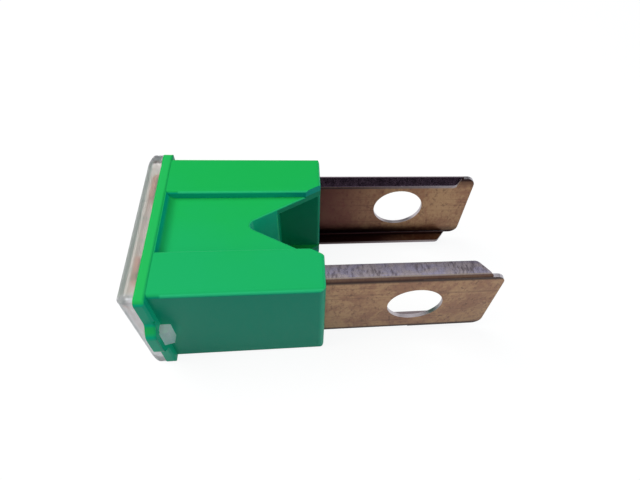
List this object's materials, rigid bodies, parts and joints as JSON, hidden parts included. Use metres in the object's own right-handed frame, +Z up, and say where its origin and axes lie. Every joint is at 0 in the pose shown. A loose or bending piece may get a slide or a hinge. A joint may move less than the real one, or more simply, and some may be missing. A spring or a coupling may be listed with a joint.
{
  "type": "fusible link",
  "caption": "Moulded cartridge fusible link with a clear clip-on cover and channel-section blades drilled for terminal bolts, joined inside by a folded fusible strip.",
  "frame": {"origin": "middle of the bounding box, on the surface that the part lies on", "axes": "+X from the cover to the blade tips, +Y across the blades, +Z up out of the broad side that faces up"},
  "size_m": [0.034, 0.0188, 0.0118],
  "materials": {
    "green_plastic": "satin moulded",
    "clear_plastic": "clear moulded",
    "copper_alloy": "tarnished rolled sheet",
    "tin": "dull"
  },
  "bodies": {
    "root": {"housing": "green_plastic", "cover": "clear_plastic", "fuse_link": "copper_alloy", "tin_pellet": "tin"}
  },
  "joints": []
}
